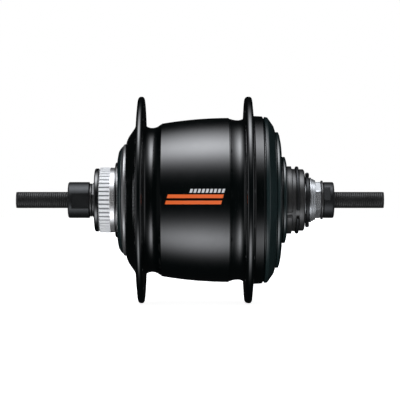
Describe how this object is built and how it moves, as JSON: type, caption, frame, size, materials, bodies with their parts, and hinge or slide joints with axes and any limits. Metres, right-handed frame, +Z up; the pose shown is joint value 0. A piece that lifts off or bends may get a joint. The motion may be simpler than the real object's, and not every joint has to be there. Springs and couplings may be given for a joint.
{
  "type": "bicycle hub gear",
  "caption": "Rear bicycle hub with an internal planetary gear, splined disc rotor mount, black spoke-flanged shell, threaded axle and sprocket driver.",
  "frame": {"origin": "middle of the axle, on its centreline, which is the centre of the bounding box", "axes": "+X along the axle towards the drive side, +Z up as the wheel stands, +Y towards the back of the view"},
  "size_m": [0.187, 0.1052, 0.1052],
  "materials": {
    "gloss_black_shell": "gloss black paint over aluminium",
    "black_cover": "gloss black paint over steel",
    "black_oxide_steel": "black oxide, satin",
    "axle_steel": "dark phosphated steel with a rolled thread",
    "bright_aluminium": "machined, bright",
    "satin_steel": "turned, satin",
    "plated_steel": "zinc plated, bright",
    "driver_steel": "dark hardened steel, satin",
    "gear_steel": "hardened and ground",
    "ball_steel": "polished bearing steel",
    "seal_rubber": "matt black rubber",
    "black_plastic": "moulded black plastic"
  },
  "bodies": {
    "axle": {"axle": "axle_steel", "left_lock_nut": "black_oxide_steel", "left_lock_washer": "driver_steel", "left_cone": "driver_steel", "left_cone_dust_cap": "black_plastic", "right_cone": "plated_steel", "right_lock_washer": "driver_steel", "right_lock_nut": "black_oxide_steel", "low_sun_gear": "gear_steel", "return_spring": "gear_steel", "spring_seat": "gear_steel"},
    "shell": {"hub_shell": "gloss_black_shell", "rotor_mount": "bright_aluminium", "left_dust_cap": "black_plastic", "left_dust_cover": "black_cover", "left_end_plate": "satin_steel", "clutch_race": "gear_steel", "ratchet_ring": "gear_steel", "right_cover": "black_cover"},
    "driver": {"driver": "driver_steel", "sprocket_snap_ring": "black_oxide_steel", "outer_dust_cap": "black_cover", "inner_dust_cap": "black_cover", "driver_seal": "seal_rubber", "planet_carrier": "gear_steel", "carrier_left_plate": "gear_steel", "planet_pin_1": "ball_steel", "planet_pin_2": "ball_steel", "planet_pin_3": "ball_steel"},
    "ring": {"ring_gear": "gear_steel", "roller_cage": "ball_steel"},
    "high_sun": {"high_sun_gear": "gear_steel"},
    "planet_1": {"planet_gear_1": "gear_steel"},
    "planet_2": {"planet_gear_2": "gear_steel"},
    "planet_3": {"planet_gear_3": "gear_steel"},
    "left_balls": {"left_ball_set": "ball_steel"},
    "shell_balls": {"shell_ball_set": "ball_steel"},
    "right_balls": {"right_ball_set": "ball_steel"},
    "shifter": {"shift_sleeve": "gear_steel", "actuator_ring": "black_oxide_steel"},
    "low_pawl": {"low_sun_pawl": "gear_steel"},
    "high_pawl": {"high_sun_pawl": "gear_steel"},
    "drive_pawl_1": {"drive_pawl_1": "gear_steel"},
    "drive_pawl_2": {"drive_pawl_2": "gear_steel"}
  },
  "joints": [
    {"name": "shell_spin", "type": "hinge", "parent": "axle", "child": "shell", "pos_m": [0, 0, 0], "axis": [1, 0, 0], "continuous": true},
    {"name": "driver_spin", "type": "hinge", "parent": "axle", "child": "driver", "pos_m": [0, 0, 0], "axis": [1, 0, 0], "continuous": true},
    {"name": "ring_spin", "type": "hinge", "parent": "axle", "child": "ring", "pos_m": [0, 0, 0], "axis": [1, 0, 0], "continuous": true},
    {"name": "high_sun_spin", "type": "hinge", "parent": "axle", "child": "high_sun", "pos_m": [0, 0, 0], "axis": [1, 0, 0], "continuous": true},
    {"name": "planet_1_spin", "type": "hinge", "parent": "driver", "child": "planet_1", "pos_m": [0, 0, 0.021], "axis": [1, 0, 0], "continuous": true},
    {"name": "planet_2_spin", "type": "hinge", "parent": "driver", "child": "planet_2", "pos_m": [0, -0.01819, -0.0105], "axis": [1, 0, 0], "continuous": true},
    {"name": "planet_3_spin", "type": "hinge", "parent": "driver", "child": "planet_3", "pos_m": [0, 0.01819, -0.0105], "axis": [1, 0, 0], "continuous": true},
    {"name": "left_balls_orbit", "type": "hinge", "parent": "axle", "child": "left_balls", "pos_m": [0, 0, 0], "axis": [1, 0, 0], "continuous": true},
    {"name": "shell_balls_orbit", "type": "hinge", "parent": "axle", "child": "shell_balls", "pos_m": [0, 0, 0], "axis": [1, 0, 0], "continuous": true},
    {"name": "right_balls_orbit", "type": "hinge", "parent": "axle", "child": "right_balls", "pos_m": [0, 0, 0], "axis": [1, 0, 0], "continuous": true},
    {"name": "shift_turn", "type": "hinge", "parent": "axle", "child": "shifter", "pos_m": [0, 0, 0], "axis": [1, 0, 0], "range_deg": [0, 86], "stiffness_Nm_per_rad": 0.02, "springref_deg": -11.46},
    {"name": "low_pawl_swing", "type": "hinge", "parent": "axle", "child": "low_pawl", "pos_m": [0.00625, -0.0026, -0.0056], "axis": [1, 0, 0], "range_deg": [0, 12]},
    {"name": "high_pawl_swing", "type": "hinge", "parent": "axle", "child": "high_pawl", "pos_m": [-0.00475, 0.00615, 0.00055], "axis": [1, 0, 0], "range_deg": [-15, 0]},
    {"name": "drive_pawl_1_swing", "type": "hinge", "parent": "driver", "child": "drive_pawl_1", "pos_m": [-0.01375, 0.0272, -0.0029], "axis": [1, 0, 0], "range_deg": [-16, 0], "stiffness_Nm_per_rad": 0.0002},
    {"name": "drive_pawl_2_swing", "type": "hinge", "parent": "driver", "child": "drive_pawl_2", "pos_m": [-0.01375, -0.0272, 0.0029], "axis": [1, 0, 0], "range_deg": [-16, 0], "stiffness_Nm_per_rad": 0.0002}
  ],
  "couplings": [
    {"joint": "driver_spin", "follows": "shell_spin", "ratio": 0.71429},
    {"joint": "ring_spin", "follows": "shell_spin", "ratio": 1},
    {"joint": "high_sun_spin", "follows": "shell_spin", "ratio": 0.33333},
    {"joint": "planet_1_spin", "follows": "shell_spin", "ratio": 0.95238},
    {"joint": "planet_2_spin", "follows": "shell_spin", "ratio": 0.95238},
    {"joint": "planet_3_spin", "follows": "shell_spin", "ratio": 0.95238},
    {"joint": "left_balls_orbit", "follows": "shell_spin", "ratio": 0.57576},
    {"joint": "shell_balls_orbit", "follows": "shell_spin", "ratio": 0.86684},
    {"joint": "right_balls_orbit", "follows": "shell_spin", "ratio": 0.39995},
    {"joint": "low_pawl_swing", "follows": "shift_turn", "ratio": 0.13953},
    {"joint": "high_pawl_swing", "follows": "shift_turn", "ratio": -0.17442}
  ]
}
